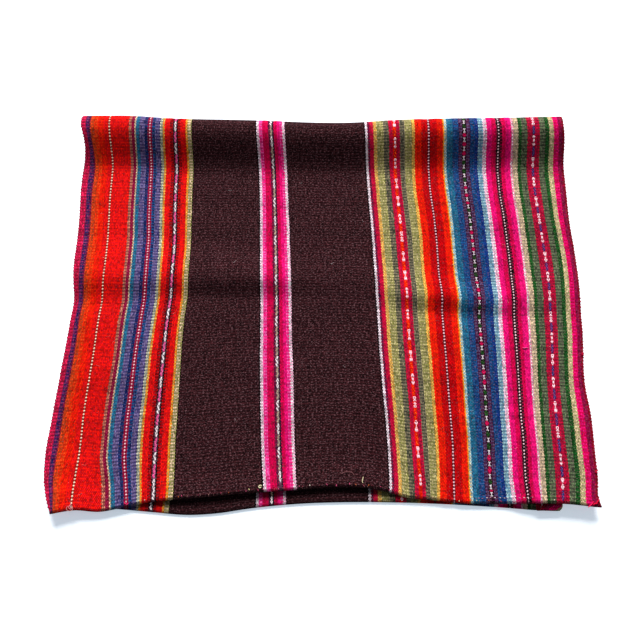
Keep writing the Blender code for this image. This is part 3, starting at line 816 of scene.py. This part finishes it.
def bead(u, v, side, width, length, tint, turn=0.0, rise=floats["rise"]):
    # where a bead lies, the way it faces, the way its yarn runs, its half sizes and its colour
    point, outward, along = surfaceAt(u, v, side)
    if turn:
        along = along * math.cos(turn) + np.cross(outward, along) * math.sin(turn)
    return point - outward * floats["sink"], outward, along, (width / 2, length / 2, rise), tint


def tinted(hexText, dice, spread=floats["toneSpread"]):
    tone = 1 + (dice.random() - 0.5) * 2 * spread
    return tuple(min(1.0, c * tone) for c in linearColour(hexText)[:3]) + (1.0,)


def stray(dice, reach):
    return (dice.random() - 0.5) * reach


def within(dice, span):
    return span[0] + span[1] * dice.random()


def chartBeads(chart, band, top, bottom, side, dice):
    # one bead for each run of like cells down a column
    beads = []
    pitch = band["pitch"]
    rowLength = (top - bottom) / len(chart)
    for column, cells in enumerate(zip(*chart)):
        r = 0
        while r < len(cells):
            mark, run = cells[r], 1
            while r + run < len(cells) and cells[r + run] == mark and run < floats["longestFloat"]:
                run += 1
            if mark != ".":
                middle = top - (r + run / 2) * rowLength + stray(dice, floats["strayAlong"] * rowLength)
                aside = (column - (len(chart[0]) - 1) / 2) * pitch
                aside += stray(dice, floats["strayAcross"] * pitch)
                rise = floats["rise"] + (floats["eyeRise"] if mark == "k" else 0.0)
                beads.append(bead(band["u"] + aside, middle, side, pitch * floats["fullness"],
                                  run * rowLength * floats["overlap"], tinted(yarnColours[mark], dice),
                                  stray(dice, floats["strayTurn"]), rise))
            r += run
    return beads


def bandBeads(band):
    dice = random.Random(band["name"])
    beads = []
    figures, between = band["figures"], band["between"]
    starts = [s / 1000 for s in band["starts"]]
    last = gridV[-1] - floats["fromHem"]
    for k, start in enumerate(starts):
        end = start - band["length"]
        pieces = [(start, end, figures[k % len(figures)])]
        if k + 1 < len(starts):
            pieces.append((end - band["gap"], starts[k + 1] + band["gap"], between[k % len(between)]))
        for top, bottom, name in pieces:
            top, bottom = min(top, last), min(bottom, last)
            made = chartBeads(charts[name], band, top, bottom, 1, dice)
            if top - bottom > floats["shortest"]:
                beads += made
    # the same band on the strip of the lower layer that shows past the upper hem
    top, turn, bottom = floats["underHemShows"], 0, 1.0
    while top > floats["shortest"] and bottom > floats["stripEnd"]:
        names = between if turn % 2 else figures
        bottom = max(floats["fromHem"], top - band["length"] * floats["stripShares"][turn % 2])
        beads += chartBeads(charts[names[turn % len(names)]], band, top, bottom, -1, dice)
        top, turn = bottom - band["gap"], turn + 1
    return beads


def dottedBeads(line):
    # one bead on every second pick, on the grains that the sheet's own weave lays there
    dice = random.Random(round(line["u"] * 1e5))
    beads, dot = [], dottedYarn
    warp = round(line["u"] / weave["warpPitch"])
    own = warp * weave["warpPitch"]
    spacing = 2 * weave["pickPitch"]
    first = (warp % 2) * weave["pickPitch"]
    rows = range(math.ceil(dot["from"] / spacing), int(dot["to"] / spacing))
    spots = [(first + k * spacing, 1) for k in rows]
    spots += [(first + k * spacing, -1) for k in range(1, int(floats["underHemShows"] / spacing))]
    for v, side in spots:
        dim = within(dice, dot["dimSpan"]) if dice.random() < dot["dimmed"] else 1.0
        tint = tuple(c * dim for c in tinted(wool[line["dot"]], dice, dot["toneSpread"])[:3]) + (1.0,)
        beads.append(bead(own + stray(dice, dot["strayAcross"]), v + stray(dice, dot["strayAlong"]), side,
                          dot["width"], dot["length"] * within(dice, dot["lengthSpan"]), tint,
                          dot["slant"] + stray(dice, dot["strayTurn"])))
        beads.append(bead(own, v + 0.5 * spacing, side, dot["besideWidth"], dot["besideLength"],
                          tinted(wool[line["beside"]], dice), rise=dot["besideRise"]))
    return beads


yarnLook = {"fibreScale": 2600.0, "fibreHeight": 0.00016, "darkest": 0.75, "toneSpan": 0.5, "roughness": 0.9,
            "specular": 0.06}


def spunYarn():
    material, desk, shader = startMaterial("spunYarn")
    look = yarnLook
    own = desk.lay("ShaderNodeAttribute", attribute_name="yarnTint", attribute_type="GEOMETRY")
    place = desk.lay("ShaderNodeTexCoord").outputs["Object"]
    fibres = desk.lay("ShaderNodeTexNoise", {"Vector": place, "Scale": look["fibreScale"], "Detail": 2.0})
    fibre = fibres.outputs["Fac"]
    height = desk.maths("MULTIPLY", fibre, look["fibreHeight"])
    bump = desk.lay("ShaderNodeBump", {"Height": height, "Distance": 1.0})
    tone = desk.maths("MULTIPLY_ADD", fibre, look["toneSpan"], look["darkest"])
    tint = desk.scaled(own.outputs["Color"], tone)
    desk.fill(shader, {"Base Color": tint, "Normal": bump.outputs[0], "Roughness": look["roughness"],
                       "Specular IOR Level": look["specular"]})
    return material


def newTree(name, **inputs):
    # a tree with its named inputs, and the group's own input node
    tree = bpy.data.node_groups.new(name, "GeometryNodeTree")
    face = tree.interface
    face.new_socket("Geometry", in_out="INPUT", socket_type="NodeSocketGeometry")
    for label, value in inputs.items():
        kind = "NodeSocketInt" if isinstance(value, int) else "NodeSocketFloat"
        face.new_socket(label, in_out="INPUT", socket_type=kind).default_value = value
    face.new_socket("Material", in_out="INPUT", socket_type="NodeSocketMaterial")
    face.new_socket("Geometry", in_out="OUTPUT", socket_type="NodeSocketGeometry")
    desk = NodeDesk(tree)
    return tree, desk, desk.lay("NodeGroupInput").outputs


def named(desk, label, kind="FLOAT_VECTOR"):
    return desk.lay("GeometryNodeInputNamedAttribute", {"Name": label}, data_type=kind).outputs["Attribute"]


def finishTree(desk, start, made):
    whole = desk.lay("GeometryNodeRealizeInstances", {"Geometry": made})
    soft = desk.lay("GeometryNodeSetShadeSmooth", {"Geometry": whole.outputs[0], "Shade Smooth": True})
    dressed = desk.lay("GeometryNodeSetMaterial", {"Geometry": soft.outputs[0],
                                                   "Material": start["Material"]})
    desk.lay("NodeGroupOutput", {"Geometry": dressed.outputs[0]})


def layCopies(desk, start, shape, size):
    # copies of a small shape on the points, each turned to the cloth's skin and along its yarn
    turn = desk.lay("FunctionNodeAxesToRotation", (named(desk, "outward"), named(desk, "along")),
                    primary_axis="Z", secondary_axis="Y").outputs[0]
    copies = desk.lay("GeometryNodeInstanceOnPoints", {"Points": start["Geometry"], "Instance": shape,
                                                       "Rotation": turn, "Scale": size})
    finishTree(desk, start, copies.outputs["Instances"])


def floatTree():
    tree, desk, start = newTree("layYarnFloats", Unevenness=0.12, Seed=3)
    shape = desk.lay("GeometryNodeMeshUVSphere", {"Segments": 6, "Rings": 4, "Radius": 1.0}).outputs["Mesh"]
    low = desk.maths("SUBTRACT", 1.0, start["Unevenness"])
    high = desk.maths("ADD", 1.0, start["Unevenness"])
    inputs = {"Min": desk.pair(low, low, low), "Max": desk.pair(high, high, high), "Seed": start["Seed"]}
    spread = desk.lay("FunctionNodeRandomValue", inputs, data_type="FLOAT_VECTOR").outputs["Value"]
    size = desk.lay("ShaderNodeVectorMath", (named(desk, "size"), spread), operation="MULTIPLY").outputs[0]
    layCopies(desk, start, shape, size)
    return tree


def pointMesh(name, beads):
    mesh = bpy.data.meshes.new(name)
    mesh.from_pydata([tuple(b[0]) for b in beads], [], [])
    for part, (label, kind, field) in enumerate((
            ("outward", "FLOAT_VECTOR", "vector"), ("along", "FLOAT_VECTOR", "vector"),
            ("size", "FLOAT_VECTOR", "vector"), ("yarnTint", "FLOAT_COLOR", "color")), 1):
        values = np.array([b[part] for b in beads], dtype=np.float32).ravel()
        mesh.attributes.new(label, kind, "POINT").data.foreach_set(field, values)
    return mesh


def grown(name, mesh, tree, **values):
    # runs a tree on its points or paths, and keeps the result as a plain mesh
    piece = addPiece(name, mesh)
    modifier = piece.modifiers.new(name, "NODES")
    modifier.node_group = tree
    for item in tree.interface.items_tree:
        if item.in_out == "INPUT" and item.name in values:
            modifier[item.identifier] = values[item.name]
    ready = piece.evaluated_get(bpy.context.evaluated_depsgraph_get())
    made = bpy.data.meshes.new_from_object(ready)
    piece.modifiers.clear()
    piece.data = made
    made.name = name
    for label in ("outward", "along", "size"):
        if label in made.attributes:
            made.attributes.remove(made.attributes[label])
    return piece


yarn = spunYarn()
layFloats = floatTree()
onSheet = []


def addBeads(name, beads, tree, **values):
    onSheet.append(grown(name, pointMesh(name, beads), tree, Material=yarn, **values))


for number, band in enumerate(figureBands):
    addBeads(band["name"], bandBeads(band), layFloats, Unevenness=0.10, Seed=11 + number)
dots = [dot for line in dottedLines for dot in dottedBeads(line)]
addBeads("dottedLines", dots, layFloats, Unevenness=0.12, Seed=31)

# Small bits of the hem and the selvedges: whipped stitches, weft loops, loose ends and shed wool
edgeYarn = {
    "seamIn": 0.0046, "seamSpacing": 0.0042, "seamLength": 0.0021, "seamWidth": 0.0009,
    "seamFrom": 0.448, "seamTo": 0.512, "seamColours": ("#D8C8C4", "#C07898", "#30203C", "#A8988C"),
    "seamStray": 0.0006, "seamTurn": 0.5, "seamSpan": (0.7, 0.6),
    "tickFrom": 0.006, "tickEnd": 0.004, "tickSpacing": 0.0070, "tickLength": 0.0019, "tickWidth": 0.0010,
    "tickIn": (0.0002, 0.0022), "tickTurn": 1.2, "tickSpan": (0.6, 0.8), "tickSteps": (0.45, 1.0),
    "tickShare": 0.45,
    "tickColours": ("#D8C890", "#8C2848", "#B85420", "#3A1428", "#D8C4B8", "#5C0C20", "#C04870"),
    "loopIn": 0.0003, "loopSpacing": 0.00348, "loopLength": 0.0023, "loopWidth": 0.0017, "loopHeight": 0.0008,
    "loopStray": 0.0008, "loopSink": 0.0006, "loopAside": 0.00025, "loopInward": 0.3,
    "loopSpan": (0.8, 0.5), "loopSpread": 0.25,
    "lowestLoop": 0.0010, "leftLoops": "#A00C38", "rightLoops": "#B0102C",
}
shedWool = {
    "onBrown": 700, "onStripes": 90, "lint": 12, "atLowerHem": 320, "atUpperHem": 60,
    "shortest": 0.0016, "longest": 0.0048, "hemShare": 0.6, "lift": 0.00025, "fromSelvedge": 0.004,
    "from": 0.530, "to": 0.888, "hemFrom": 0.10, "hemTo": 0.42, "lowerHem": (0.0002, 0.0016),
    "upperHem": (0.0016, 0.0004), "turnSpread": 0.5, "toneSpread": 0.35,
    "brownTint": "#785054", "stripeTint": "#D89890", "lintTint": "#D0C4C4", "hemTint": "#3A2022",
}
threadLook = {"lift": 0.0003, "endShare": 0.5, "midShare": 0.62}
# Each loose end's place in the weave, colour and width, and its turns in mm across and back from there
looseEnds = {
    "whiteLoop": (0.0310, 0.8935, "#C88C84", 0.00042,
                  ((0.0, 0.0), (1.5, -1.5), (1.0, -4.0), (-2.0, -5.0), (-4.5, -3.5), (-4.0, -0.5),
                   (-1.5, 0.8))),
    "roseLoop": (0.0345, 0.8920, "#E87880", 0.0007,
                 ((0.0, 0.5), (2.0, -1.0), (3.0, -3.5), (1.0, -5.0), (-0.5, -3.0))),
    "pinkEnd": (0.0800, 0.8925, "#E02860", 0.0008, ((0.0, 0.0), (-1.0, -2.0), (-3.2, -3.0), (-4.5, -2.2))),
    "crimsonTail": (0.5800, 0.8925, "#D01038", 0.0013,
                    ((-2.0, 1.5), (0.5, 0.0), (2.0, -1.6), (3.8, -1.2), (5.4, -2.2))),
    "secondTail": (0.5760, 0.8935, "#E01850", 0.0010, ((0.0, 0.5), (2.0, -1.5), (4.6, -3.0), (6.6, -4.4))),
    "edgeKnot": (0.5822, 0.8620, "#B00C30", 0.0014, ((-1.0, 1.0), (1.0, 0.6), (1.6, -0.8), (-0.4, -1.4))),
    "upperKnot": (0.5822, 0.7380, "#B00C30", 0.0013, ((-1.0, 1.2), (1.2, 0.4), (1.0, -1.0), (-0.8, -1.2))),
    "pinkTuft": (0.5160, 0.7340, "#F05090", 0.0008, ((-2.5, 0.5), (-0.5, 0.9), (1.5, 0.4), (3.5, 1.0))),
    "creamLoop": (0.2265, 0.8928, "#E8DCB0", 0.0008,
                  ((-1.6, 1.2), (0.0, 1.8), (1.6, 0.6), (0.6, -0.9), (-1.0, 0.2))),
    "brownThread": (0.3210, 0.8830, "#6A4244", 0.0008,
                    ((-7.0, -2.5), (-5.0, 0.5), (-1.0, 1.2), (3.0, 1.0), (6.0, -0.5), (8.0, 0.8))),
    "creamTick": (0.3365, 0.8900, "#D8CCA0", 0.0007, ((-0.6, 3.5), (0.0, 1.0), (0.5, -1.5), (-0.2, -3.0))),
}


def isBrown(u):
    k = int(np.clip(np.searchsorted(stripeEdges, u, side="right") - 1, 0, len(stripes) - 1))
    return stripes[k][1] == "brown"


def seamBeads():
    # a running stitch above the hem, whipped ticks along its edge, and the weft's loops at the selvedges
    dice = random.Random(41)
    beads = []
    width, hemV, edge = clothSheet["width"], gridV[-1], edgeYarn
    place = edge["seamFrom"]
    while place < edge["seamTo"]:
        name = dice.choice(edge["seamColours"])
        across = hemV - edge["seamIn"] + stray(dice, edge["seamStray"])
        beads.append(bead(place, across, 1, edge["seamWidth"], edge["seamLength"], tinted(name, dice),
                          math.pi / 2 + stray(dice, edge["seamTurn"])))
        place += edge["seamSpacing"] * within(dice, edge["seamSpan"])
    place = edge["tickFrom"]
    while place < width - edge["tickEnd"]:
        if isBrown(place) or dice.random() < edge["tickShare"]:
            name = dice.choice(edge["tickColours"])
            length = edge["tickLength"] * within(dice, edge["tickSpan"])
            beads.append(bead(place, hemV - within(dice, edge["tickIn"]), 1, edge["tickWidth"], length,
                              tinted(name, dice), stray(dice, edge["tickTurn"])))
        place += edge["tickSpacing"] * within(dice, edge["tickSteps"])
    for u, tint, way in ((edge["loopIn"], edge["leftLoops"], -1),
                         (width - edge["loopIn"], edge["rightLoops"], 1)):
        for k in range(1, int(hemV / edge["loopSpacing"])):
            place = k * edge["loopSpacing"] + stray(dice, edge["loopStray"])
            point, outward, along = surfaceAt(u, place, 1)
            aside = np.cross(outward, along) * way
            outwards = edge["loopAside"] * (dice.random() - edge["loopInward"])
            point = point - outward * edge["loopSink"] + aside * outwards
            point[2] = max(point[2], edge["lowestLoop"])
            reach = edge["loopWidth"] / 2 * within(dice, edge["loopSpan"])
            size = (reach, edge["loopLength"] / 2, edge["loopHeight"])
            beads.append((point, outward, along, size, tinted(tint, dice, edge["loopSpread"])))
    return beads


def fibreBeads():
    dice = random.Random(57)
    beads = []
    shed, margin = shedWool, shedWool["fromSelvedge"]

    def strew(count, near, tint, side=1, rows=(shed["from"], shed["to"]), away=None):
        laid = 0
        while laid < count:
            u, v = dice.uniform(margin, clothSheet["width"] - margin), dice.uniform(*rows)
            if not near(u):
                continue
            length = dice.uniform(shed["shortest"], shed["longest"])
            if away is None:
                turn = dice.uniform(0, math.pi)
            else:
                length *= shed["hemShare"]
                turn = away + dice.gauss(0.0, shed["turnSpread"])
            point, outward, along = surfaceAt(u, v, side)
            heading = along * math.cos(turn) + np.cross(outward, along) * math.sin(turn)
            beads.append((point + outward * shed["lift"], outward, heading, (length, length, length),
                          tinted(tint, dice, shed["toneSpread"])))
            laid += 1

    strew(shed["onBrown"], isBrown, shed["brownTint"])
    strew(shed["onStripes"], lambda u: not isBrown(u), shed["stripeTint"])
    strew(shed["lint"], lambda u: True, shed["lintTint"])
    strew(shed["atLowerHem"], lambda u: shed["hemFrom"] < u < shed["hemTo"], shed["hemTint"],
          side=-1, rows=shed["lowerHem"], away=0.0)
    strew(shed["atUpperHem"], lambda u: True, shed["stripeTint"],
          rows=[gridV[-1] - reach for reach in shed["upperHem"]], away=math.pi)
    return beads


def fibreTree():
    tree, desk, start = newTree("strewWoolFibres", Thickness=0.02, Bow=0.28)
    arc = desk.lay("GeometryNodeCurveQuadraticBezier", {
        "Resolution": 4, "Start": (0.0, -0.5, 0.0), "End": (0.0, 0.5, 0.0),
        "Middle": desk.pair(start["Bow"], 0.0, 0.10)})
    ring = desk.lay("GeometryNodeCurvePrimitiveCircle", {"Resolution": 3, "Radius": start["Thickness"]})
    hair = desk.lay("GeometryNodeCurveToMesh", {"Curve": arc.outputs["Curve"],
                                                "Profile Curve": ring.outputs["Curve"]})
    layCopies(desk, start, hair.outputs["Mesh"], named(desk, "size"))
    return tree


def threadMesh():
    # one bent line for each loose end, in the sheet's own ways across and along
    mesh = bpy.data.meshes.new("looseEnds")
    points, edges, widths, tints = [], [], [], []
    for u, v, tint, width, turns in looseEnds.values():
        point, outward, along = surfaceAt(u, v, 1)
        aside = np.cross(along, outward)
        lift = outward * (threadLook["lift"] + 0.5 * width)
        for k, (across, back) in enumerate(turns):
            if k:
                edges.append((len(points) - 1, len(points)))
            points.append(tuple(point + aside * across * 0.001 - along * back * 0.001 + lift))
            atEnd = k in (0, len(turns) - 1)
            widths.append(width * threadLook["endShare" if atEnd else "midShare"])
            tints.append(linearColour(tint))
    mesh.from_pydata(points, edges, [])
    mesh.attributes.new("width", "FLOAT", "POINT").data.foreach_set("value", widths)
    mesh.attributes.new("yarnTint", "FLOAT_COLOR", "POINT").data.foreach_set(
        "color", np.array(tints, dtype=np.float32).ravel())
    return mesh


def threadTree():
    tree, desk, start = newTree("spinLooseEnds", Steps=5)
    path = desk.lay("GeometryNodeMeshToCurve", {"Mesh": start["Geometry"]})
    bent = desk.lay("GeometryNodeCurveSplineType", {"Curve": path.outputs["Curve"]},
                    spline_type="CATMULL_ROM")
    fine = desk.lay("GeometryNodeSetSplineResolution", {"Geometry": bent.outputs["Curve"],
                                                        "Resolution": start["Steps"]})
    ring = desk.lay("GeometryNodeCurvePrimitiveCircle", {"Resolution": 5, "Radius": 1.0})
    thread = desk.lay("GeometryNodeCurveToMesh", {
        "Curve": fine.outputs["Geometry"], "Profile Curve": ring.outputs["Curve"],
        "Scale": named(desk, "width", "FLOAT"), "Fill Caps": True})
    finishTree(desk, start, thread.outputs["Mesh"])
    return tree


addBeads("hemStitches", seamBeads(), layFloats, Unevenness=0.15, Seed=43)
addBeads("shedWool", fibreBeads(), fibreTree(), Thickness=0.024, Bow=0.16)
onSheet.append(grown("looseEnds", threadMesh(), threadTree(), Steps=5, Material=yarn))
print("yarn floats:", ", ".join(f"{p.name} {len(p.data.polygons)}" for p in onSheet))


# Floor, light and camera
studio = {
    "floorColour": (0.93, 0.94, 0.95, 1.0),
    "floorRoughness": 0.85,
    "floorSpecular": 0.1,
    "floorReach": 3.0,
    "floorGap": 0.0003,
    "skyColour": (0.84, 0.91, 1.0, 1.0),
    "skyStrength": 0.26,
    # the floor's glow is painted light, no lamp: it lifts the shadows on the floor and tints them blue
    "floorPaintedGlow": 0.47,
    "floorPaintedGlowColour": (0.74, 0.87, 1.0, 1.0),
    "keyPlace": (-0.30, 4.40, 3.50),
    "keySize": 2.6,
    "keyPower": 590.0,
    "cameraPlace": (0.0, -0.2431, 0.8615),
    "cameraTilt": 14.8,
    "lens": 45.0,
    "sensorWidth": 36.0,
}


def layStudio():
    reach = studio["floorReach"]
    mesh = bpy.data.meshes.new("paleFloor")
    sides = ((-1, -1), (1, -1), (1, 1), (-1, 1))
    corners = [(reach * x, reach * y, -studio["floorGap"]) for x, y in sides]
    mesh.from_pydata(corners, [], [(0, 1, 2, 3)])
    floor = addPiece("paleFloor", mesh)
    material, desk, shader = startMaterial("paleFloor")
    # the floor's emission is a painted glow that lightens its shadows
    desk.fill(shader, {
        "Base Color": studio["floorColour"], "Roughness": studio["floorRoughness"],
        "Specular IOR Level": studio["floorSpecular"], "Emission Color": studio["floorPaintedGlowColour"],
        "Emission Strength": studio["floorPaintedGlow"]})
    mesh.materials.append(material)

    world = bpy.data.worlds.new("softRoom")
    world.use_nodes = True
    background = world.node_tree.nodes["Background"]
    background.inputs["Color"].default_value = studio["skyColour"]
    background.inputs["Strength"].default_value = studio["skyStrength"]
    bpy.context.scene.world = world

    lamp = bpy.data.lights.new("farWindow", "AREA")
    lamp.shape = "SQUARE"
    lamp.size = studio["keySize"]
    lamp.energy = studio["keyPower"]
    key = addPiece("farWindow", lamp)
    key.location = studio["keyPlace"]
    key.rotation_euler = (-Vector(studio["keyPlace"])).to_track_quat("-Z", "Y").to_euler()

    lens = bpy.data.cameras.new("photoCamera")
    lens.lens = studio["lens"]
    lens.sensor_width = studio["sensorWidth"]
    camera = addPiece("photoCamera", lens)
    camera.location = studio["cameraPlace"]
    camera.rotation_euler = (math.radians(studio["cameraTilt"]), 0.0, 0.0)
    bpy.context.scene.camera = camera
    bpy.context.scene.view_settings.view_transform = "Standard"


layStudio()
print("studio: floor, light and camera")

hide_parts("folded_cloth")
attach(sheet, "root")
for piece in onSheet:
    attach(piece, "root")
